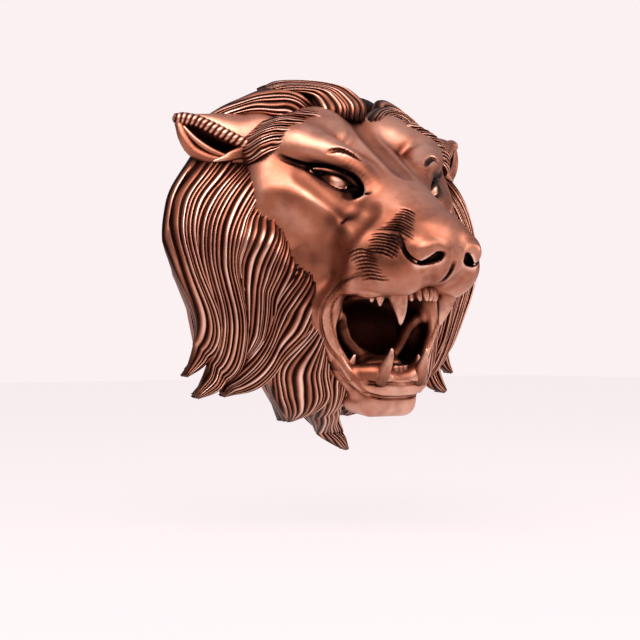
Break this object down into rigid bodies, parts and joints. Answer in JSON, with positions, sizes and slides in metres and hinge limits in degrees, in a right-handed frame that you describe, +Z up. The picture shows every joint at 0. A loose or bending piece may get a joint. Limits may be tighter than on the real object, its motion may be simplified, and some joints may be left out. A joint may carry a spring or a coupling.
{
  "type": "lion head wall mask",
  "caption": "Roaring lion's head wall mask with a ridged swept mane, open fanged mouth and a flat back that hangs against a wall.",
  "frame": {"origin": "middle of the flat back, where the mask bears on its wall", "axes": "+Z up; +Y from the mask into its wall, so the lion looks along -Y; X across the face"},
  "size_m": [0.411, 0.222, 0.395],
  "materials": {
    "antique_copper": "antiqued copper, rubbed bright on the high spots with near-black patina in the grooves"
  },
  "bodies": {
    "root": {"lion_mask": "antique_copper"}
  },
  "joints": []
}
